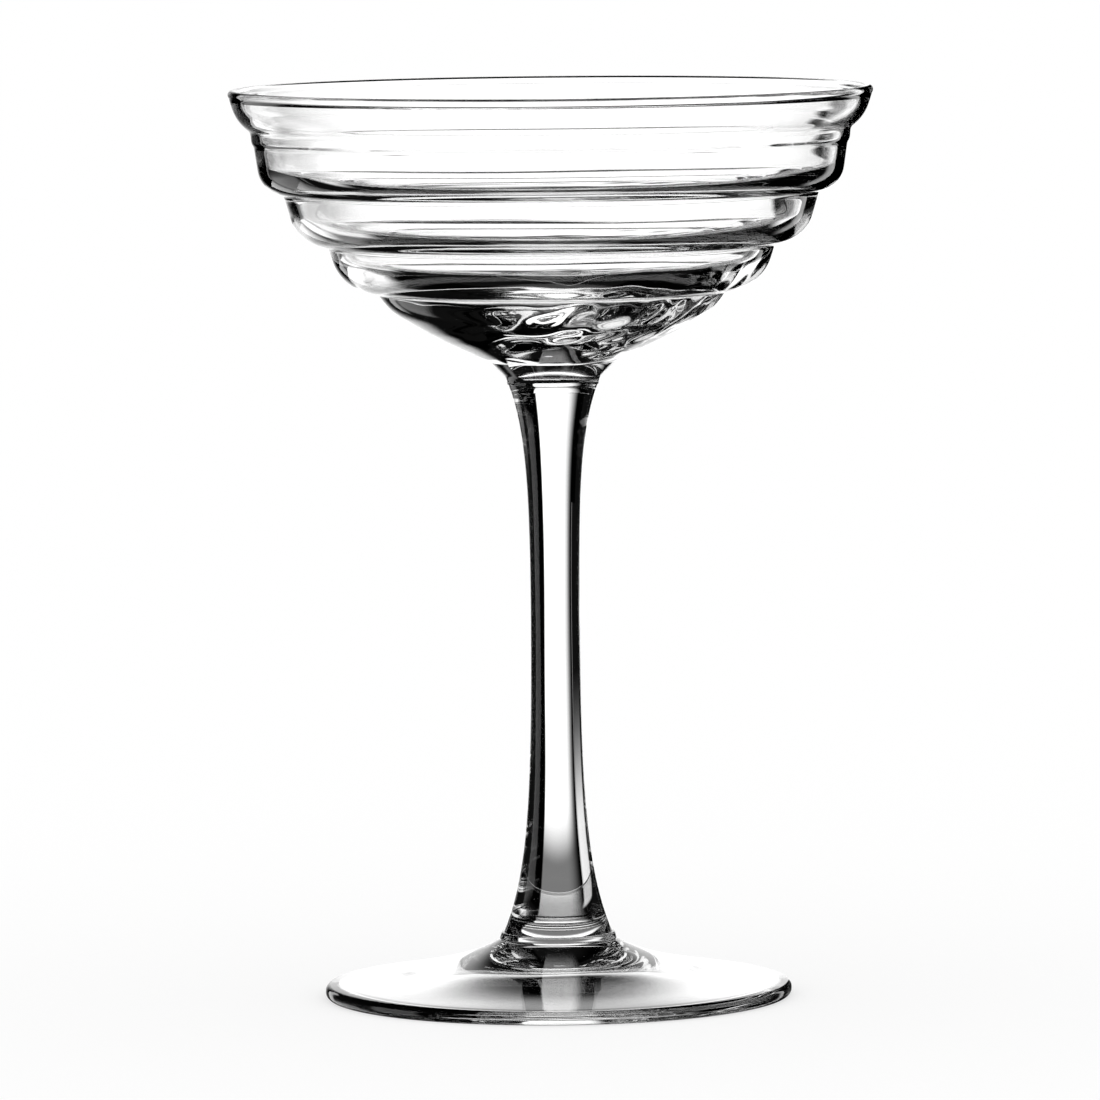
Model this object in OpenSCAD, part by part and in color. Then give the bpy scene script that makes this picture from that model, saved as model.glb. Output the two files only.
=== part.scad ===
// Stepped coupe glass: a thin blown bowl with three tiers, stuck by a glass button to a drawn stem,
// and the stem stuck by a glass collar to a round trumpet-shaped foot.
// Every piece is turned about the Z axis. Sizes are in millimetres, and Z = 0 is the table.

/* [Foot] */
// Diameter of the foot
foot_d = 76.4; // [64:0.2:92]
// Height of the foot, from the table to the collar
foot_h = 9.3; // [8:0.1:14]
// Height of the foot's rolled edge
foot_edge_h = 2.1; // [1.7:0.1:4]
// Rounding of the edge's two corners
foot_edge_round = 1; // [0.3:0.05:1]
// Rise of the foot's upper side for each millimetre towards the stem
foot_slope = 0.165; // [0.1:0.005:0.18]
// Distance over which the foot's flare below the collar falls to about a third
foot_flare = 5.8; // [3:0.1:10]
// Width of the ring that the foot stands on
foot_ring_w = 1.7; // [1.2:0.1:4]
// Diameter of the flat in the middle of the foot's underside
flat_d = 28; // [24:0.5:36]

/* [Collar] */
// Diameter of the collar's lower rim, on the foot
collar_d = 19.4; // [18.8:0.1:24]
// Diameter of the collar's upper rim, under the stem
collar_top_d = 18.6; // [18:0.1:22]
// Thickness of the collar
collar_h = 1.3; // [1:0.1:2.5]
// Rounding of the collar's two rims
collar_round = 0.35; // [0.1:0.05:0.45]

/* [Stem] */
// Length of the stem
stem_h = 89.9; // [60:0.1:120]
// Diameter of the stem at its waist
waist_d = 7.84; // [6:0.02:10]
// Diameter of the stem's lower end
heel_d = 17.8; // [14:0.1:18]
// Distance over which the lower flare falls to about a third
heel_taper = 11.8; // [8:0.1:15]
// Diameter of the stem's upper end
head_d = 14.7; // [12:0.1:14.9]
// Distance over which the upper flare falls to about a third
head_taper = 8.8; // [6:0.1:12]

/* [Button] */
// Diameter of the button where the stem is stuck to it
button_d = 15; // [14.9:0.1:18]
// Height of the button
button_h = 3.6; // [2.8:0.1:5]
// Height of the button's straight neck
neck_h = 0.9; // [0.5:0.1:1.4]
// Rounding between the button's neck and its flare
neck_round = 2.4; // [0.5:0.1:4]
// Diameter of the flat under the bowl that the button is stuck to
bowl_seat_d = 20.4; // [19:0.1:25]

/* [Bowl outside] */
// Diameter of the mouth, over the bead
mouth_d = 105; // [84:0.2:126]
// Radius of the rounded bead along the rim
bead_r = 0.75; // [0.7:0.05:1]
// Height of the lip step, from the middle of the bead down
lip_h = 6.1; // [5:0.1:8]
// Width of the ledge under the lip
lip_ledge = 3.25; // [2.5:0.05:5]
// Height of the thin rib
rib_h = 2.4; // [2:0.1:3.4]
// Width of the ledge under the thin rib
rib_ledge = 0.55; // [0.3:0.05:1]
// Height of the first tier
tier_1_h = 7.8; // [6.4:0.1:12]
// Width of the ledge under the first tier
tier_1_ledge = 4.65; // [3.5:0.05:7]
// Height of the second tier
tier_2_h = 8.6; // [7:0.1:12]
// Width of the ledge under the second tier
tier_2_ledge = 7.2; // [5:0.1:10]
// Height of the third tier
tier_3_h = 7.7; // [6.4:0.1:10]
// Width of the ledge under the third tier
tier_3_ledge = 7.9; // [5:0.1:10]
// Height of the plain cup below the tiers
cup_h = 11.4; // [9:0.1:15]

/* [Bowl inside] */
// Thickness of the wall at the lip and the rib
lip_wall = 1.35; // [1.1:0.05:1.6]
// Thickness of the first tier's wall
tier_1_wall = 1.4; // [1.1:0.05:2]
// Thickness of the second tier's wall
tier_2_wall = 2.4; // [1.4:0.1:3]
// Thickness of the third tier's wall
tier_3_wall = 2.7; // [1.6:0.1:3.4]
// Thickness of the cup's wall
cup_wall = 3; // [2:0.1:3.6]
// Thickness of the glass at the middle of the bowl's floor
floor_h = 4.9; // [3.8:0.1:7]
// Height of the dish inside, where the glass has settled, above the groove between the cup and the third tier
dish_over = 2.1; // [1.2:0.1:4]

/* [Hidden] */
$fn = 128;
// Largest turn between two points of an arc, in degrees
arc_step = 7.5;
// Bands along the stem, along the foot's upper side and across the hollow under it
stem_bands = 60;
foot_bands = 24;
hollow_bands = 28;
// Longest straight across the dish inside the bowl
dish_step = 1.5;

// Heights of the joints, from the table up
collar_z = foot_h;
stem_z = collar_z + collar_h;
button_z = stem_z + stem_h;
bowl_z = button_z + button_h;

// Heights of the grooves between the bowl's steps, and the middle of the bead
cup_top = bowl_z + cup_h;
tier_3_top = cup_top + tier_3_h;
tier_2_top = tier_3_top + tier_2_h;
tier_1_top = tier_2_top + tier_1_h;
rib_top = tier_1_top + rib_h;
bead_z = rib_top + lip_h;

// Radii of the steps at their tops: the bead overhangs the lip's wall by half its own radius
bead_x = mouth_d / 2 - bead_r;
lip_r = mouth_d / 2 - bead_r / 2;
rib_r = lip_r - lip_ledge;
tier_1_r = rib_r - rib_ledge;
tier_2_r = tier_1_r - tier_1_ledge;
tier_3_r = tier_2_r - tier_2_ledge;
cup_r = tier_3_r - tier_3_ledge;
seat_r = bowl_seat_d / 2;

// Distance below the bead's middle at which the wall leaves it
bead_run = 1.6 * bead_r;
// Angle below level at which the bead runs into the wall on each side
bead_ends = 40;

// How far each step's wall leans in
lip_lean = 1;
rib_lean = 0.15;
tier_1_lean = 1.05;
tier_2_lean = 2.3;
tier_3_lean = 2.2;
cup_lean = 2.2;
// How high each step's full corner lies, as a share of the step's height
lip_lift = 0.38;
rib_lift = 0.25;
tier_1_lift = 0.1;
tier_2_lift = 0.07;
tier_3_lift = 0.08;
cup_lift = 0.74;
// The bend in the cup's underside, as shares of the way out and up from the seat to its corner
cup_bend = [0.54, 0.49];

// Roundings of the steps' corners, of the grooves between them, and of the floor inside
lip_round = 7;
rib_round = 2.5;
tier_1_round = 6.2;
tier_2_round = 7.9;
tier_3_round = 8.1;
cup_round = 12;
bend_round = 40;
groove_round = 1.2;
rib_groove_round = 1.5;
floor_round = 24;
// Height over which the dish inside runs into the walls
dish_ease = 2;
// Width over which the foot's underside turns from its slope to its flat
flat_round = 3;

function cross_product(a, b) = a.x * b.y - a.y * b.x;
function unit(v) = v / norm(v);
// Unit vector square to the line from a to b, on the bowl's inner side of a path down its outside
function inward(a, b) = let (u = unit(b - a)) [u.y, -u.x];
// The point where the line from p along u meets the line from q along v
function line_meet(p, u, q, v) = p + u * cross_product(q - p, v) / cross_product(u, v);
function reversed(list) = [for (i = [len(list) - 1:-1:0]) list[i]];
function xy(corner) = [corner.x, corner.y];

// The part of the straight from corner c to corner q that c's rounding may use up
function side_share(c, q) = norm(xy(q) - xy(c)) * c.z / (c.z + q.z);

// The arc that rounds the corner c between the corners p and n, as far as its two sides allow
function corner_arc(p, c, n) =
    let (u = unit(xy(p) - xy(c)), v = unit(xy(n) - xy(c)),
         half = acos(u * v) / 2,
         r = min(c.z, min(side_share(c, p), side_share(c, n)) * tan(half)),
         centre = xy(c) + unit(u + v) * r / sin(half),
         start = xy(c) + u * r / tan(half) - centre,
         turn = (180 - 2 * half) * sign(cross_product(-u, v)),
         steps = ceil(abs(turn) / arc_step))
    [for (k = [0:steps])
        let (a = turn * k / steps)
        centre + [start.x * cos(a) - start.y * sin(a), start.x * sin(a) + start.y * cos(a)]];

// A path through corners [x, y, rounding], with each one rounded and the two ends kept
function rounded(corners) =
    let (last = len(corners) - 1)
    [for (i = [0:last])
        each (i == 0 || i == last || corners[i].z == 0)
            ? [xy(corners[i])]
            : corner_arc(corners[i - 1], corners[i], corners[i + 1])];

// The two corners of one step of the bowl's outside: the groove at its top, and its full corner
function step(r, top, h, lean, lift, top_round, corner_round) =
    [[r, top, top_round], [r - lean, top - h * (1 - lift), corner_round]];

cup_corners = step(cup_r, cup_top, cup_h, cup_lean, cup_lift, groove_round, cup_round);

// Corners down the outside of the bowl, from under the bead to the seat
bowl_corners = concat(
    step(lip_r, bead_z - bead_run, lip_h - bead_run, lip_lean, lip_lift, 0, lip_round),
    step(rib_r, rib_top, rib_h, rib_lean, rib_lift, rib_groove_round, rib_round),
    step(tier_1_r, tier_1_top, tier_1_h, tier_1_lean, tier_1_lift, rib_groove_round, tier_1_round),
    step(tier_2_r, tier_2_top, tier_2_h, tier_2_lean, tier_2_lift, groove_round, tier_2_round),
    step(tier_3_r, tier_3_top, tier_3_h, tier_3_lean, tier_3_lift, groove_round, tier_3_round),
    cup_corners,
    [[seat_r + (cup_corners[1].x - seat_r) * cup_bend.x,
      bowl_z + (cup_corners[1].y - bowl_z) * cup_bend.y, bend_round],
     [seat_r, bowl_z, 0]]);
bowl_last = len(bowl_corners) - 1;

// Thickness of the glass behind each straight of that outline
walls = [lip_wall, lip_wall, lip_wall, lip_wall, tier_1_wall, (tier_1_wall + tier_2_wall) / 2,
         tier_2_wall, tier_2_wall, tier_3_wall, tier_3_wall, cup_wall, cup_wall, cup_wall];

// The corner inside the bowl that faces corner i: its two straights moved in by their thickness.
// An outer corner's rounding shrinks by the thickness there, and a groove's grows by it.
function inner_corner(i) =
    let (p = xy(bowl_corners[i - 1]), c = xy(bowl_corners[i]), n = xy(bowl_corners[i + 1]),
         wall = (walls[i - 1] + walls[i]) / 2,
         groove = cross_product(c - p, n - c) > 0,
         r = bowl_corners[i].z)
    concat(line_meet(c + inward(p, c) * walls[i - 1], c - p, c + inward(c, n) * walls[i], n - c),
           groove ? r + wall : max(r - wall, 0.3 * r));

// The corner where the cup's lowest inner straight reaches the height of an even floor
even_z = bowl_z + cup_wall;
function floor_corner(p, n) =
    concat(line_meet(n + inward(p, n) * cup_wall, n - p, [0, even_z], [1, 0]), floor_round);

// The inside of the bowl at those thicknesses, from under the bead to the middle of the floor
even_inside = rounded(concat(
    [concat(xy(bowl_corners[0]) + inward(xy(bowl_corners[0]), xy(bowl_corners[1])) * lip_wall, 0)],
    [for (i = [1:bowl_last - 1]) inner_corner(i)],
    [floor_corner(xy(bowl_corners[bowl_last - 1]), xy(bowl_corners[bowl_last])), [0, even_z, 0]]));

// The dish that fills it from below: a parabola from the middle of the floor to above the cup's groove. The
// inside is the higher of the two at each place, eased where they cross.
function dish_z(x) =
    let (floor_z = bowl_z + floor_h) floor_z + (cup_top + dish_over - floor_z) * pow(x / cup_r, 2);
function filled(p) =
    let (d = dish_z(p.x))
    [p.x, max(p.y, d) + pow(max(dish_ease - abs(p.y - d), 0), 2) / (4 * dish_ease)];
cavity_side = [for (i = [0:len(even_inside) - 2])
    let (a = even_inside[i], b = even_inside[i + 1],
         parts = b.y > dish_z(b.x) + dish_ease ? 1 : ceil(norm(b - a) / dish_step))
    for (k = [0:parts - 1]) filled(a + (b - a) * k / parts)];
// The dish ends at a small flat round its middle
cavity = concat(cavity_side, [[0, cavity_side[len(cavity_side) - 1].y]]);

// The bead, from its inner end over the top to its outer end
bead = let (turn = 180 + 2 * bead_ends, steps = ceil(turn / arc_step))
    [for (k = [0:steps])
        let (a = 180 + bead_ends - turn * k / steps)
        [bead_x + bead_r * cos(a), bead_z + bead_r * sin(a)]];

// Radius of the stem at the height t above its lower end: a waist with a flare towards each end
function stem_r(t) =
    waist_d / 2
    + (heel_d - waist_d) / 2 * exp(-t / heel_taper)
    + (head_d - waist_d) / 2 * exp(-(stem_h - t) / head_taper);

// Height of the foot's upper side at the radius x: a cone with a flare up to the collar's lower rim
function cone_z(x) = foot_edge_h + foot_slope * (foot_d / 2 - x);
function foot_z(x) =
    cone_z(x) + (foot_h - cone_z(collar_d / 2)) * exp(-(x - collar_d / 2) / foot_flare);

// Height of the hollow under the foot at the radius x. From its circle it rises as the upper side does, so
// that the plate keeps its thickness, and inside the flat's circle it levels out.
hollow_r = foot_d / 2 - foot_edge_round - foot_ring_w;
function levelled(x) = let (flat_r = flat_d / 2) (x + flat_r + norm([x - flat_r, flat_round])) / 2;
function hollow_z(x) = foot_z(levelled(x)) - foot_z(levelled(hollow_r));

module glass() color([0.9, 0.94, 0.95, 0.45]) rotate_extrude() children();

// Trumpet-shaped disc with a rolled edge, hollowed underneath so that it stands on a ring
module foot() {
    // The flare's bands start narrow at the collar and widen towards the edge
    flare_end = foot_d / 2 - 3 * foot_edge_round;
    flare = [for (k = [1:foot_bands])
        let (x = collar_d / 2 + (flare_end - collar_d / 2) * pow(k / foot_bands, 1.5))
        [x, foot_z(x), 0]];
    outer = rounded(concat(
        [[0, foot_h, 0], [collar_d / 2, foot_h, 0]],
        flare,
        [[foot_d / 2, foot_z(foot_d / 2), foot_edge_round],
         [foot_d / 2, 0, foot_edge_round],
         [hollow_r, 0, 0]]));
    // The hollow ends at a small flat round its middle
    hollow = [for (k = [hollow_bands - 1:-1:1])
        let (x = hollow_r * k / hollow_bands) [x, hollow_z(x)]];
    glass() polygon(concat(outer, hollow, [[0, hollow[len(hollow) - 1].y]]));
}

// Wafer of glass that the foot and the stem are both stuck to
module foot_collar() {
    glass() translate([0, collar_z]) polygon(rounded([
        [0, 0, 0],
        [collar_d / 2, 0, collar_round],
        [collar_top_d / 2, collar_h, collar_round],
        [0, collar_h, 0]]));
}

// Solid stem, drawn to a waist, with a wide flare at the foot and a smaller one at the bowl
module stem() {
    side = [for (k = [0:stem_bands])
        let (t = stem_h * k / stem_bands) [stem_r(t), t]];
    glass() translate([0, stem_z]) polygon(concat([[0, 0]], side, [[0, stem_h]]));
}

// Button of glass under the bowl, which the stem's head is stuck to
module bowl_button() {
    glass() translate([0, button_z]) polygon(rounded([
        [0, 0, 0],
        [button_d / 2, 0, 0],
        [button_d / 2, neck_h, neck_round],
        [seat_r, button_h, 0],
        [0, button_h, 0]]));
}

// Blown bowl: a beaded lip, a thin rib, three tiers and a plain cup
module bowl() {
    glass() polygon(concat(
        bead,
        rounded(bowl_corners),
        [[0, bowl_z]],
        reversed(cavity)));
}

foot();
foot_collar();
stem();
bowl_button();
bowl();
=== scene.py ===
# %% [markdown]
# A stemmed coupe glass, drawn from its measured model. The model gives five pieces of clear glass,
# fused end to end: foot, collar, stem, button and bowl. Here each one is turned again as a fine, smooth
# surface with the small unevenness of hand-worked glass. Then it gets a clear finish, a bright studio
# and a camera.

# %% Load the measured model
import math

import bpy
import numpy as np
from mathutils import Matrix


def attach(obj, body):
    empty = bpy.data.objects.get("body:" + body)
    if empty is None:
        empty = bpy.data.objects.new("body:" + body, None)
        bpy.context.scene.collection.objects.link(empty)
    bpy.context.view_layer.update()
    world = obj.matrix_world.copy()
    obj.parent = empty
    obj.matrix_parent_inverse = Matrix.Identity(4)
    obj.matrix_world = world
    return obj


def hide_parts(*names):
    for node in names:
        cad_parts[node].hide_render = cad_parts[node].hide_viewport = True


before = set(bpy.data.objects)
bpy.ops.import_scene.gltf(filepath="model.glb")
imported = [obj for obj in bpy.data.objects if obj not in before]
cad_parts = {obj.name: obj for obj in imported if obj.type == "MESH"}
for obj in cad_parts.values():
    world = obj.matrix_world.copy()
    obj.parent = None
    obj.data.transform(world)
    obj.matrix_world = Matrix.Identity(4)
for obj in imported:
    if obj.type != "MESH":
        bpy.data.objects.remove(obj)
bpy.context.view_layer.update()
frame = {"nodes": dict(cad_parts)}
MM = 0.001
scene = bpy.context.scene
print("pieces in the model:", ", ".join(frame["nodes"]))

# %% [markdown]
# The camera comes first, because every later choice is judged through it. The photograph was taken from
# far away with a long lens: the foot and the rim show almost no perspective. The camera stands a little
# above the rim's height, looks down by a few degrees, and is turned by half a degree about its own line
# of sight, which makes the glass lean slightly to the left.

# %% Camera
CAMERA_BACK = 1552.18 * MM
CAMERA_UP = 204.9 * MM
CAMERA_SIDE = -0.75 * MM
LOOK_DOWN = math.radians(4.848)
ROLL = math.radians(-0.55)
FOCAL_PIXELS = 9534.7
IMAGE_PIXELS = 1100
SENSOR_MM = 36.0

lens = bpy.data.cameras.new("long_lens")
lens.sensor_width = SENSOR_MM
lens.lens = FOCAL_PIXELS / IMAGE_PIXELS * SENSOR_MM
camera = bpy.data.objects.new("camera", lens)
scene.collection.objects.link(camera)
stand = Matrix.Translation((CAMERA_SIDE, -CAMERA_BACK, CAMERA_UP))
tilt = Matrix.Rotation(math.pi / 2 - LOOK_DOWN, 4, "X")
camera.matrix_world = stand @ tilt @ Matrix.Rotation(ROLL, 4, "Z")
scene.camera = camera
print("lens", round(lens.lens, 1), "mm at", round(CAMERA_BACK, 3), "m")

# %% [markdown]
# Every piece of this glass is round, so it is one outline carried round the axis. The outline is
# already in the model: each vertex has a distance from the axis and a height, and all the vertices of
# one circle share them. Read off once per circle and put in order, they are the outline. Reading it
# here, rather than typing the sizes again, keeps the glass exactly as large as the model.

# %% Read an outline
SAME_POINT_MM = 0.004


def circle_points(name):
    """Radius and height of each circle of a turned piece, in mm, and the pairs of circles that are joined."""
    mesh = frame["nodes"][name].data
    place = np.empty(3 * len(mesh.vertices))
    mesh.vertices.foreach_get("co", place)
    place = place.reshape(-1, 3) / MM
    corners = np.empty(3 * len(mesh.polygons), int)
    mesh.loops.foreach_get("vertex_index", corners)
    flat = np.round(np.c_[np.hypot(place[:, 0], place[:, 1]), place[:, 2]], 3)
    circles, which = np.unique(flat, axis=0, return_inverse=True)
    triangles = which.ravel()[corners.reshape(-1, 3)]
    links = np.vstack([triangles[:, [0, 1]], triangles[:, [1, 2]], triangles[:, [2, 0]]])
    links = np.unique(np.sort(links[links[:, 0] != links[:, 1]], axis=1), axis=0)
    return circles, links


def outline(name):
    """The circles in order: from an end with one neighbour, always on to the nearest one not yet used."""
    circles, links = circle_points(name)
    count = np.bincount(links.ravel(), minlength=len(circles))
    ends = np.flatnonzero(count == 1)
    here = ends[np.argmin(circles[ends, 1])]
    order = [here]
    while True:
        near = np.setdiff1d(np.append(links[links[:, 0] == here, 1], links[links[:, 1] == here, 0]), order)
        if not len(near):
            break
        here = near[np.argmin(np.hypot(*(circles[near] - circles[here]).T))]
        order.append(here)
    points = circles[order]
    apart = np.append(True, np.hypot(*np.diff(points, axis=0).T) > SAME_POINT_MM)
    return points[apart]


outlines = {name: outline(name) for name in frame["nodes"]}
for name, points in outlines.items():
    print(name, "outline of", len(points), "points from", points[0].round(2), "to", points[-1].round(2))

# %% [markdown]
# The outline's points are joined by straight lines, which glass would show as flat bands. A smooth
# curve goes through them instead: at each point its direction is a mean of the two straights that meet
# there, and the longer one counts more, so a flat wall stays flat beside a rounding. Where two
# straights meet at a real corner, the curve keeps the corner.

# %% Smooth an outline
CORNER_TURN = math.radians(30)
BOWL_RING_MM = 0.55


def smooth_outline(points, spacing):
    """Cubic curve through the points, sampled about every spacing mm, and whether each sample is a corner."""
    chord = np.diff(points, axis=0)
    length = np.hypot(*chord.T)
    along = chord / length[:, None]
    turn = np.abs(np.arctan2(along[:-1, 0] * along[1:, 1] - along[:-1, 1] * along[1:, 0],
                             (along[:-1] * along[1:]).sum(1)))
    weight = length[:, None] ** 2
    mean = along[:-1] * weight[:-1] + along[1:] * weight[1:]
    mean /= np.hypot(*mean.T)[:, None]
    corner = turn > CORNER_TURN
    leaving = np.vstack([along[:1], np.where(corner[:, None], along[1:], mean)])
    coming = np.vstack([np.where(corner[:, None], along[:-1], mean), along[-1:]])
    parts = np.maximum(1, np.ceil(length / spacing).astype(int))
    part = np.repeat(np.arange(len(parts)), parts)
    t = (np.arange(len(part)) - np.repeat(np.cumsum(parts) - parts, parts)) / parts[part]
    t = t[:, None]
    reach = length[part][:, None]
    curve = ((2 * t**3 - 3 * t**2 + 1) * points[part] + (t**3 - 2 * t**2 + t) * reach * leaving[part]
             + (3 * t**2 - 2 * t**3) * points[part + 1] + (t**3 - t**2) * reach * coming[part])
    sharp = (t[:, 0] == 0) & np.append(True, corner)[part]
    return np.vstack([curve, points[-1:]]), np.append(sharp, True)


fine, _ = smooth_outline(outlines["bowl"], BOWL_RING_MM)
print("the bowl's outline is smoothed from", len(outlines["bowl"]), "to", len(fine), "points")

# %% [markdown]
# Hand-worked glass is never quite even. The outside takes the mould's shape, while the inside only
# follows it loosely, and thick glass low in the bowl flows more than the thin lip. A few low waves
# round the axis that drift with height give that: they push the surface straight out or in. They die
# out at each joint, so the pieces still meet.

# %% Waves round the axis
# size, waves in one turn, drift for each mm of height, share of the phase
RIPPLES = ((0.5, 3, 0.21, 1.0), (0.3, 5, -0.33, 2.1), (0.2, 8, 0.47, 3.7))


def ripple(angle, height, phase):
    """Sum of three sines round the axis whose phases drift with height, in the range of about -1 to 1."""
    return sum(size * np.sin(waves * angle + drift * height + share * phase)
               for size, waves, drift, share in RIPPLES)


def fade(x, start, end):
    """0 below start, 1 above end, and a smooth rise between."""
    t = np.clip((x - start) / (end - start), 0, 1)
    return t * t * (3 - 2 * t)


round_once = np.linspace(0, 2 * np.pi, 720)
print("the ripple stays within", np.abs(ripple(round_once, 0, 0)).max().round(2))

# %% [markdown]
# Turning: a ring of points at each place on the outline, quads between rings, and a fan of triangles to
# one point on the axis at each end. Turned this way the mesh is closed, as a solid piece of glass has
# to be for light to bend going in and coming out. The faces must point outwards. Which way they point
# depends on the outline's direction, and the area that the outline shuts in with the axis tells it by
# its sign.

# %% Faces between rings
def ring_faces(rows, around):
    """Quads between each ring and the next, then a fan from each end ring to its point on the axis."""
    first = np.arange(around)
    after = (first + 1) % around
    begin = np.arange(rows - 1)[:, None] * around
    low = (begin + first).ravel()
    step = (begin + after).ravel()
    quads = np.c_[low, step, step + around, low + around]
    top = (rows - 1) * around
    start_fan = np.c_[after, first, np.full(around, rows * around)]
    end_fan = np.c_[top + first, top + after, np.full(around, rows * around + 1)]
    return quads.tolist() + start_fan.tolist() + end_fan.tolist()


def signed_area(points):
    """Twice the area between the outline and the axis: above 0 where the outline runs up the outside."""
    loop = np.vstack([[[0, points[0, 1]]], points, [[0, points[-1, 1]]]])
    onward = np.roll(loop, -1, axis=0)
    return np.sum(loop[:, 0] * onward[:, 1] - onward[:, 0] * loop[:, 1])


print("the bowl's outline shuts in", round(signed_area(fine) / 2, 1), "square mm")

# %% [markdown]
# The rings at corners are marked sharp, so that the flat joint faces don't bend the light beside them.

# %% Turn a piece
def mark_corners(mesh, rows, around, sharp):
    """Mark the edges along each ring that is a corner of the outline as sharp."""
    pairs = np.empty(2 * len(mesh.edges), int)
    mesh.edges.foreach_get("vertices", pairs)
    row = np.where(pairs < rows * around, pairs // around, -1).reshape(-1, 2)
    hard = (row[:, 0] == row[:, 1]) & (row[:, 0] >= 0) & sharp[row[:, 0]]
    mesh.attributes.new("sharp_edge", "BOOLEAN", "EDGE").data.foreach_set("value", hard)
    return np.count_nonzero(hard) // around


def turned(name, points, sharp, around, uneven):
    """Each outline point (r, z), pushed uneven mm out of the surface, goes to (r cos a, r sin a, z)."""
    slope = np.gradient(points, axis=0)
    slope /= np.hypot(*slope.T)[:, None]
    angle = np.arange(around) * 2 * np.pi / around
    push = uneven(angle[None, :], points)
    r = points[:, :1] + slope[:, 1:] * push
    z = points[:, 1:] - slope[:, :1] * push
    rings = np.stack([r * np.cos(angle), r * np.sin(angle), z], axis=2).reshape(-1, 3)
    poles = np.array([[0, 0, points[0, 1]], [0, 0, points[-1, 1]]])
    mesh = bpy.data.meshes.new(name)
    mesh.from_pydata(np.vstack([rings, poles]) * MM, [], ring_faces(len(points), around))
    if signed_area(points) < 0:
        mesh.flip_normals()
    mesh.shade_smooth()
    corners = mark_corners(mesh, len(points), around, sharp)
    piece = bpy.data.objects.new(name, mesh)
    scene.collection.objects.link(piece)
    print(name, "has", len(mesh.polygons), "faces and", corners, "corners")
    return piece


# %% [markdown]
# The finishes. Colours are written as on screen and turned to linear light by one function, and one
# small function adds a node with its settings and links.

# %% Helpers for finishes
def linear(code):
    """An sRGB hex colour as linear red, green, blue and full alpha."""
    value = np.array([int(code[i:i + 2], 16) for i in (1, 3, 5)]) / 255
    return (*np.where(value <= 0.04045, value / 12.92, ((value + 0.055) / 1.055) ** 2.4), 1.0)


def add(tree, kind, settings=None, **links):
    """Add a node, set its properties and constant inputs, and link its inputs from (node, output) pairs."""
    node = tree.nodes.new(kind)
    for key, value in (settings or {}).items():
        if isinstance(key, int) or key in node.inputs:
            node.inputs[key].default_value = value
        else:
            setattr(node, key, value)
    for key, (source, output) in links.items():
        socket = node.inputs[int(key[1:])] if key[1:].isdigit() else node.inputs[key.replace("_", " ")]
        tree.links.new(source.outputs[output], socket)
    return node


def new_material(name):
    """An empty node material."""
    material = bpy.data.materials.new(name)
    material.use_nodes = True
    material.node_tree.nodes.clear()
    return material, material.node_tree


print("middle grey in linear light:", round(linear("#808080")[0], 3))

# %% [markdown]
# Clear soda-lime glass, blown into a mould and polished in the flame: colourless, smooth and bright,
# with a skin that is very slightly wavy where the fire softened it. The wave is a few millimetres long
# and far too low to see by itself: it only makes reflections tremble.

# %% Fire-polished soda-lime glass
FIRE_WAVE_MM = 7.0
FIRE_WAVE_HIGH_MM = 0.02
FIRE_WAVE_SHOWN = 0.15
GLASS_IOR = 1.52

glass, tree = new_material("fire_polished_soda_lime_glass")
place = add(tree, "ShaderNodeTexCoord")
wave = add(tree, "ShaderNodeTexNoise", {"Scale": 1 / (FIRE_WAVE_MM * MM), "Detail": 1.0},
           Vector=(place, "Object"))
skin = add(tree, "ShaderNodeBump", {"Strength": FIRE_WAVE_SHOWN, "Distance": FIRE_WAVE_HIGH_MM * MM},
           Height=(wave, 0))
body = add(tree, "ShaderNodeBsdfPrincipled",
           {"Base Color": linear("#FEFEFE"), "Roughness": 0.0, "IOR": GLASS_IOR, "Transmission Weight": 1.0},
           Normal=(skin, 0))
add(tree, "ShaderNodeOutputMaterial", Surface=(body, 0))
print(glass.name, "with a wave every", FIRE_WAVE_MM, "mm and an index of", GLASS_IOR)

# %% [markdown]
# Where two pieces were fused, there is no surface left: light goes straight on from one to the other.
# The flat joint faces are still there in the meshes, so they get a finish that shows nothing at all.

# %% Fused joint
joint, tree = new_material("fused_joint_with_no_surface")
clear = add(tree, "ShaderNodeBsdfTransparent", {"Color": linear("#FFFFFF")})
add(tree, "ShaderNodeOutputMaterial", Surface=(clear, 0))
print(joint.name, "lets everything through")

# %% [markdown]
# The bottom of the bowl is thick, and the glass settled there in slow folds while it was soft. They are
# what breaks the light into bright streaks above the stem. Folds could be drawn by the finish, as a
# bump. They are put into the inside surface itself, because light has to cross the real wedge of glass
# for such streaks, and because an exported mesh keeps them. The outside, the stem and the foot are only
# a hint uneven.

# %% Folds in the bottom of the bowl
# size, then radians for each mm towards the back and to the right, then where the wave starts
FOLDS = ((0.5, 0.42, 0.25, 3.1), (0.3, 0.665, -0.35, 6.51), (0.2, 1.05, 0.55, 10.23))
FOLD_DEEP_MM = 0.3
FOLD_TOP_MM = (114, 122)
FOLD_MIDDLE_MM = (1, 7)
FOLD_SIDE_MM = (-9, 4)
CALM_SIDE = 0.15


def settled(x, y):
    """Sum of three straight waves across the bottom of the bowl, nearly side by side, from about -1 to 1."""
    return sum(size * np.sin(back * y + right * x + start) for size, back, right, start in FOLDS)


def folds(x, y, z):
    """The settled waves, strong on the right, fading out up the wall and at the very middle, in mm."""
    pool = (1 - fade(z, *FOLD_TOP_MM)) * fade(np.hypot(x, y), *FOLD_MIDDLE_MM)
    one_side = CALM_SIDE + (1 - CALM_SIDE) * fade(x, *FOLD_SIDE_MM)
    return FOLD_DEEP_MM * pool * one_side * settled(x, y)


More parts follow.
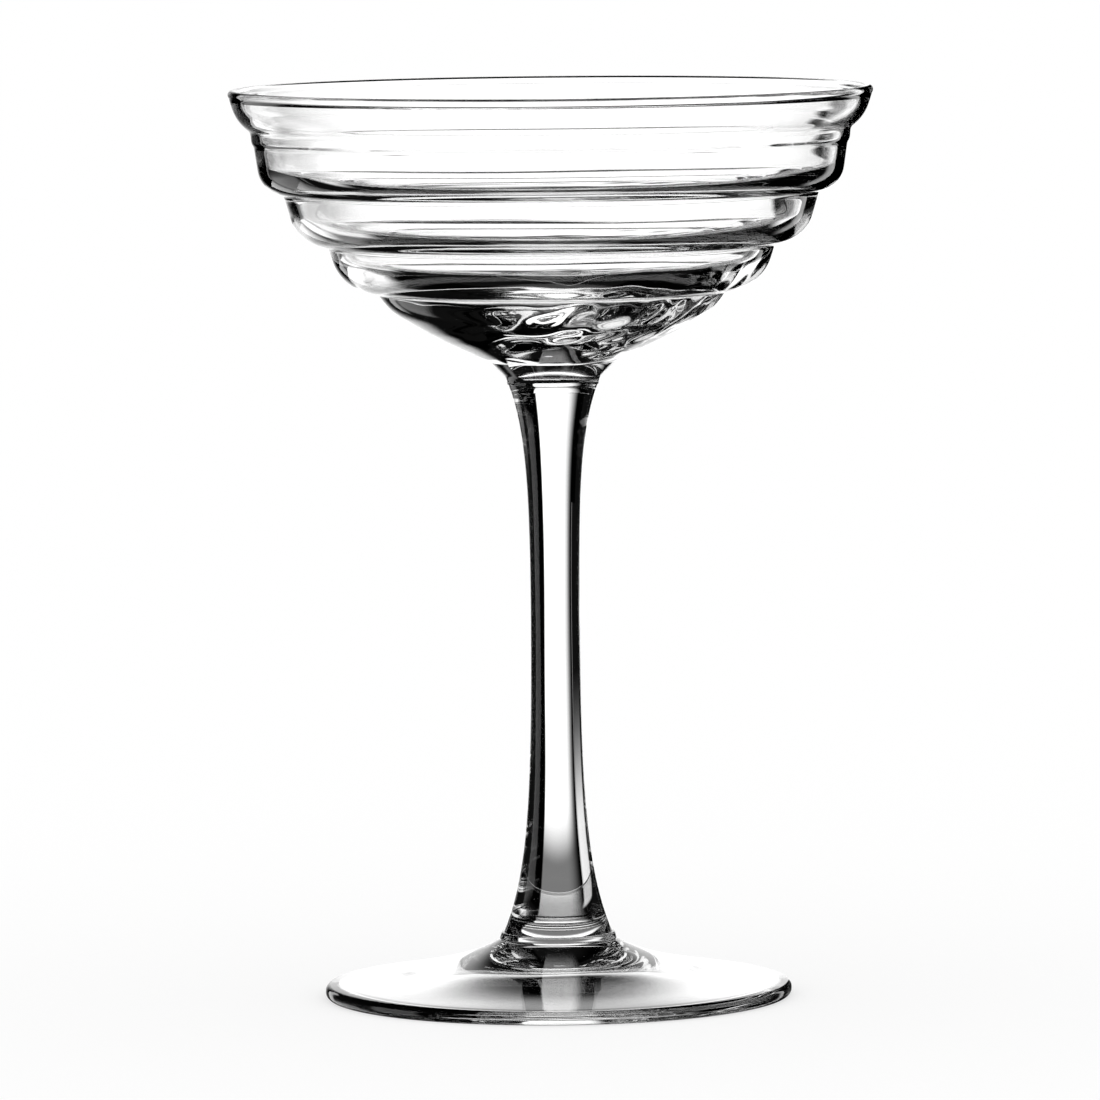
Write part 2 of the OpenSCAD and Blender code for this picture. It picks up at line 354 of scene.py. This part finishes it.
across = np.linspace(-8, 8, 99)
deepest = np.abs(folds(across[:, None], across, FOLD_TOP_MM[0])).max()
print("the folds are up to", deepest.round(2), "mm deep within 8 mm of the axis")

# %% [markdown]
# Each piece then gets its own rule of unevenness, in mm straight out of the surface. A pair of numbers
# says from which height or radius to which it fades in or out, so that it is gone at the joints and on
# the axis.

# %% Unevenness of the bowl
SLIGHT_MM = 0.03
INSIDE_MORE_MM = 0.10
THICK_MM = (112, 142)
LIP_MM = (146, 148.5)
LIP_CALM = 0.7
BOWL_JOINT_MM = (104.1, 108)
BOWL_AXIS_MM = (0, 9)
OUTSIDE_PHASE = 0.4
INSIDE_PHASE = 1.3


def bowl_uneven(angle, points):
    """Low waves outside, stronger ones inside that grow towards the thick bottom, and the folds inside."""
    r, z = points[:, :1], points[:, 1:]
    inside = (np.arange(len(points)) > np.argmax(points[:, 1]))[:, None]
    thick = 1 - fade(z, *THICK_MM)
    size = np.where(inside, SLIGHT_MM + INSIDE_MORE_MM * thick, SLIGHT_MM)
    near_lip = 1 - fade(z, *LIP_MM) * LIP_CALM
    waves = ripple(angle, z, np.where(inside, INSIDE_PHASE, OUTSIDE_PHASE))
    low = size * near_lip * fade(z, *BOWL_JOINT_MM) * fade(r, *BOWL_AXIS_MM) * waves
    return low + np.where(inside, folds(r * np.cos(angle), r * np.sin(angle), z), 0)


print("the bowl is uneven by up to", np.abs(bowl_uneven(round_once[None, :], fine)).max().round(2), "mm")

# %% [markdown]
# The stem was drawn out while it was hot, and the foot was pressed and spun, so they are much more
# even.

# %% Unevenness of the other pieces
HINT_MM = 0.02
STEM_LOW_MM = (11, 20)
STEM_HIGH_MM = (92, 100)
STEM_DRIFT = 0.4
STEM_PHASE = 2.2
FOOT_JOINT_MM = (12, 22)
FOOT_EDGE_MM = (1.2, 2.4)
FOOT_PHASE = 0.9


def stem_uneven(angle, points):
    """A hint of waviness on the drawn stem that dies out at both ends."""
    z = points[:, 1:]
    ends = fade(z, *STEM_LOW_MM) * (1 - fade(z, *STEM_HIGH_MM))
    return HINT_MM * ends * ripple(angle, STEM_DRIFT * z, STEM_PHASE)


def foot_uneven(angle, points):
    """A hint of waviness on the foot, none near the joint or low on its edge."""
    r, z = points[:, :1], points[:, 1:]
    return HINT_MM * fade(r, *FOOT_JOINT_MM) * fade(z, *FOOT_EDGE_MM) * ripple(angle, r, FOOT_PHASE)


def no_unevenness(angle, points):
    """A piece too small to show any."""
    return np.zeros((len(points), angle.shape[1]))


UNEVEN = {"bowl": bowl_uneven, "stem": stem_uneven, "foot": foot_uneven}
print("uneven pieces:", ", ".join(UNEVEN))

# %% [markdown]
# Two neighbours share a flat round face. It is as wide as the narrower of the two, and only that much
# of it gets the finish that shows nothing: what stands out beyond it is still glass against air.

# %% Faces that two pieces share
STACK = ("foot", "foot_collar", "stem", "bowl_button", "bowl")
TOUCH_MM = 0.01


def joint_radius(node, end):
    """Radius of the face that a piece shares with the next one below (end 0) or above (end 1), or None."""
    other = STACK.index(node) + (1 if end else -1)
    if not 0 <= other < len(STACK):
        return None
    mine, theirs = outlines[node], outlines[STACK[other]]
    if not end:
        return min(mine[0, 0], theirs[-1, 0])
    top_face = mine[mine[:, 1] > mine[:, 1].max() - TOUCH_MM, 0]
    return min(top_face.max(), theirs[0, 0])


for lower, upper in zip(STACK, STACK[1:]):
    print(lower, "meets", upper, "in a face of radius", round(joint_radius(lower, 1), 2), "mm")

# %% [markdown]
# Now the pieces. The bowl has the most rings, because its tiers, grooves and lip are what the eye
# follows. Where a shared face is narrower than the piece's own end, one more outline point lies at its
# edge, and the fan inside that point is the face that shows nothing.

# %% Make the five pieces
# name, distance of the rings in mm, points round the axis
SETTINGS = {
    "foot": ("foot_glass", 0.45, 240),
    "foot_collar": ("collar_glass", 0.12, 192),
    "stem": ("stem_glass", 0.8, 160),
    "bowl_button": ("button_glass", 0.15, 160),
    "bowl": ("bowl_glass", BOWL_RING_MM, 256),
}


def with_joint_edges(points, radii):
    """The outline with a point added at each end whose shared face is narrower than the end itself."""
    for end, radius in enumerate(radii):
        tip = points[-1 if end else 0]
        if radius is not None and radius < tip[0] - TOUCH_MM:
            inner = np.array([[radius, tip[1]]])
            points = np.vstack([points, inner] if end else [inner, points])
    return points


def glass_piece(node):
    """Turn one piece, and give the fan at each shared end the finish that shows nothing."""
    name, spacing, around = SETTINGS[node]
    radii = [joint_radius(node, end) for end in (0, 1)]
    points, sharp = smooth_outline(with_joint_edges(outlines[node], radii), spacing)
    piece = turned(name, points, sharp, around, UNEVEN.get(node, no_unevenness))
    piece.data.materials.append(glass)
    piece.data.materials.append(joint)
    finish = np.zeros(len(piece.data.polygons), np.int32)
    finish[-2 * around:-around] = radii[0] is not None
    finish[-around:] = radii[1] is not None
    piece.data.polygons.foreach_set("material_index", finish)
    return piece


pieces = {node: glass_piece(node) for node in STACK}
for node, piece in pieces.items():
    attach(piece, "root")
    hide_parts(node)

# %% [markdown]
# A clear glass is drawn by what stands round it. White behind it makes it bright, and black beside the
# white gives it its dark edges: photographers call this bright-field light. The white is far away and
# has soft edges, so that a band of glass goes from white to black through grey. Such an edge is a
# smooth step, and a field with several edges is their product. One function makes both, and another
# makes the sheets of the studio, which only show through the glass or mirrored in it.

# %% Soft edges and sheets for the studio
def soft_edges(tree, strength, limits):
    """Multiply smooth steps: each limit is (node, output, full, gone, rest), 1 at full and rest at gone."""
    product = None
    for node, output, full, gone, rest in limits:
        most = strength if product is None else 1.0
        reach = {"interpolation_type": "SMOOTHSTEP", "From Min": gone, "From Max": full,
                 "To Min": rest * most, "To Max": most}
        step = add(tree, "ShaderNodeMapRange", reach, Value=(node, output))
        if product is None:
            product = step
        else:
            product = add(tree, "ShaderNodeMath", {"operation": "MULTIPLY"}, _0=(product, 0), _1=(step, 0))
    return product


def hidden_sheet(name, corners, material):
    """Flat sheets, four corners each, in mm, that show only through the glass or mirrored in it."""
    mesh = bpy.data.meshes.new(name)
    mesh.from_pydata(np.array(corners) * MM, [], np.arange(len(corners)).reshape(-1, 4).tolist())
    mesh.materials.append(material)
    sheet = bpy.data.objects.new(name, mesh)
    scene.collection.objects.link(sheet)
    sheet.visible_camera = False
    sheet.visible_diffuse = False
    sheet.visible_shadow = False
    print(name, "reaches over", np.ptp(corners, axis=0), "mm")


# %% [markdown]
# A far white field lies in the same direction for every piece, so the wide bowl would stay white to its
# edges. In a studio, black flags stand close behind a glass and leave a gap hardly wider than its rim.
# A wall at the bowl's side then meets black after a small bend, and the stem in the middle only after a
# large one. Here the flags are one flat sheet with a gap that lets light through. The gap's left edge
# is very soft, which gives the stem a grey side, and low down it lets little through, which ends the
# stem's white streak at the heel. The far left hangs only high up, because lower down it would stand
# behind the glass in a slanting view.

# %% Black flags behind the glass
FLAG_BACK_MM = 200
FLAG_RIGHT_MM = (60, 66)
FLAG_LEFT_MM = (-35, -108)
FLAG_TABLE_MM = (-4, -42)
TABLE_LIGHT = 0.15
# left, right, lower and upper end
FLAG_SHEETS_MM = ((-118, 170, -150, 350), (-170, -118, 75, 350))

cloth, tree = new_material("black_flag_with_a_gap")
place = add(tree, "ShaderNodeTexCoord")
axes = add(tree, "ShaderNodeSeparateXYZ", {}, Vector=(place, "Object"))
limits = [(axes, side, full * MM, gone * MM, rest) for side, (full, gone), rest in
          (("X", FLAG_RIGHT_MM, 0), ("X", FLAG_LEFT_MM, 0), ("Z", FLAG_TABLE_MM, TABLE_LIGHT))]
gap = soft_edges(tree, 1.0, limits)
veil = add(tree, "ShaderNodeBsdfTransparent", {}, Color=(gap, 0))
add(tree, "ShaderNodeOutputMaterial", Surface=(veil, 0))
corners = [(x, FLAG_BACK_MM, z) for left, right, low, high in FLAG_SHEETS_MM
           for x, z in ((left, low), (right, low), (right, high), (left, high))]
hidden_sheet("black_flags", corners, cloth)

# %% [markdown]
# The thick stem and its collar keep light off the paper below them. Seen through the foot, that shadow
# gives the dark heart, the stripes on both sides of it and a grey haze. It could come from real light through
# the glass, but such light needs very many samples to settle. So the shadow is painted: a small round sheet
# just under the foot, dark in the middle and clear at its rim, gives the same picture at once.

# %% Painted shadow on the paper
SHADE_MM = (11, 25)
SHADE_DEEP_MM = 0.3

# Painted shadow: a clear sheet that lets less through towards the axis, dark in the middle.
shade, tree = new_material("painted_shadow_on_paper")
place = add(tree, "ShaderNodeTexCoord")
far = add(tree, "ShaderNodeVectorMath", {"operation": "LENGTH"}, _0=(place, "Object"))
clear = soft_edges(tree, 1.0, [(far, "Value", SHADE_MM[1] * MM, SHADE_MM[0] * MM, 0)])
veil = add(tree, "ShaderNodeBsdfTransparent", {}, Color=(clear, 0))
add(tree, "ShaderNodeOutputMaterial", Surface=(veil, 0))
reach = SHADE_MM[1] + 1
corners = [(x * reach, y * reach, -SHADE_DEEP_MM) for x, y in ((-1, -1), (1, -1), (1, 1), (-1, 1))]
hidden_sheet("painted_paper_shadow", corners, shade)

# %% [markdown]
# The world holds the white fields. Each has a brightness and four edges in degrees: how far it is
# turned to the left from straight ahead, and how far it rises above level, each with where it is full
# and where it is gone. The first one lies behind the glass in the photograph. It is a little brighter
# than white, because every wall mirrors some of the light away. The others lie behind the glass when it
# is looked at from other sides, and the last one below it, for a look from straight above. The camera
# and the matt floor see plain white of strength 1 all round, so the light stays at a plain level.

# %% Studio round the glass
# brightness, then right, left, lower and upper edge
FIELDS = (
    (1.4, (-36, -42), (28, 33), (-23, -31), (20, 32)),
    (1.0, (35, 29), (55, 61), (-39, -45), (-14, -6)),
    (1.0, (78, 72), (102, 108), (-19, -25), (10, 16)),
    (1.0, (-148, -154), (-122, -116), (-31, -37), (0, 6)),
    (1.0, (-181, -182), (181, 182), (-91, -92), (-78, -71)),
)
DARK = 0.005

world = bpy.data.worlds.new("studio")
scene.world = world
world.use_nodes = True
tree = world.node_tree
tree.nodes.clear()
sky = add(tree, "ShaderNodeTexCoord")
axes = add(tree, "ShaderNodeSeparateXYZ", {}, Vector=(sky, "Generated"))
left = add(tree, "ShaderNodeMath", {"operation": "MULTIPLY", 1: -1.0}, _0=(axes, "X"))
turn = add(tree, "ShaderNodeMath", {"operation": "ARCTAN2"}, _0=(left, 0), _1=(axes, "Y"))
rise = add(tree, "ShaderNodeMath", {"operation": "ARCSINE"}, _0=(axes, "Z"))
angles = (turn, turn, rise, rise)
level = None
for strength, *edges in FIELDS:
    limits = [(angle, 0, *edge, 0) for angle, edge in zip(angles, np.radians(edges).tolist())]
    field = soft_edges(tree, strength, limits)
    before = {"_1": (level, 0)} if level else {}
    level = add(tree, "ShaderNodeMath", {"operation": "MAXIMUM", 1: DARK}, _0=(field, 0), **before)
path = add(tree, "ShaderNodeLightPath")
plain = add(tree, "ShaderNodeMath", {"operation": "MAXIMUM"},
            _0=(path, "Is Camera Ray"), _1=(path, "Is Diffuse Ray"))
pick = add(tree, "ShaderNodeMix", {"data_type": "RGBA", 7: linear("#FFFFFF")}, _0=(plain, 0), _6=(level, 0))
light = add(tree, "ShaderNodeBackground", {"Strength": 1.0}, Color=(pick, 2))
add(tree, "ShaderNodeOutputWorld", Surface=(light, 0))
world.cycles.sampling_method = "NONE"
print(len(FIELDS), "white fields, made with", len(tree.nodes), "nodes")

# %% [markdown]
# The floor is white paper that takes the glass's soft shadow. Part of what the camera sees of it is
# plain white, so that the shadow stays faint and the paper goes over into the white behind it. The
# glass doesn't show the paper itself: below the table it shows the fields and the painted shadow on the
# paper.

# %% Floor
HALF_FLOOR_M = 6.0
FLOOR_WHITE = 0.6

paper, tree = new_material("white_paper")
matt = add(tree, "ShaderNodeBsdfDiffuse", {"Color": linear("#FFFFFF")})
white = add(tree, "ShaderNodeEmission", {"Color": linear("#FFFFFF"), "Strength": 1.0})
path = add(tree, "ShaderNodeLightPath")
seen = add(tree, "ShaderNodeMath", {"operation": "MULTIPLY", 1: FLOOR_WHITE}, _0=(path, "Is Camera Ray"))
both = add(tree, "ShaderNodeMixShader", {}, _0=(seen, 0), _1=(matt, 0), _2=(white, 0))
add(tree, "ShaderNodeOutputMaterial", Surface=(both, 0))
paper.cycles.emission_sampling = "NONE"
floor_mesh = bpy.data.meshes.new("floor")
corners = np.array([(-1, -1, 0), (1, -1, 0), (1, 1, 0), (-1, 1, 0)]) * HALF_FLOOR_M
floor_mesh.from_pydata(corners, [], [(0, 1, 2, 3)])
floor_mesh.materials.append(paper)
floor = bpy.data.objects.new("floor", floor_mesh)
scene.collection.objects.link(floor)
floor.visible_transmission = False
floor.visible_glossy = False
print("floor", 2 * HALF_FLOOR_M, "m wide")

# %% [markdown]
# Colours go to the screen as they are. A ray may cross a dozen glass walls between the lip and the
# stem, and if it had to stop sooner, those places would turn black. So it may go on for longer than
# usual.

# %% Colours on screen and length of light paths
scene.view_settings.view_transform = "Standard"
scene.cycles.max_bounces = 32
scene.cycles.transmission_bounces = 32
scene.cycles.glossy_bounces = 16
scene.cycles.transparent_max_bounces = 64
print("a ray may cross", scene.cycles.transmission_bounces, "surfaces of glass")
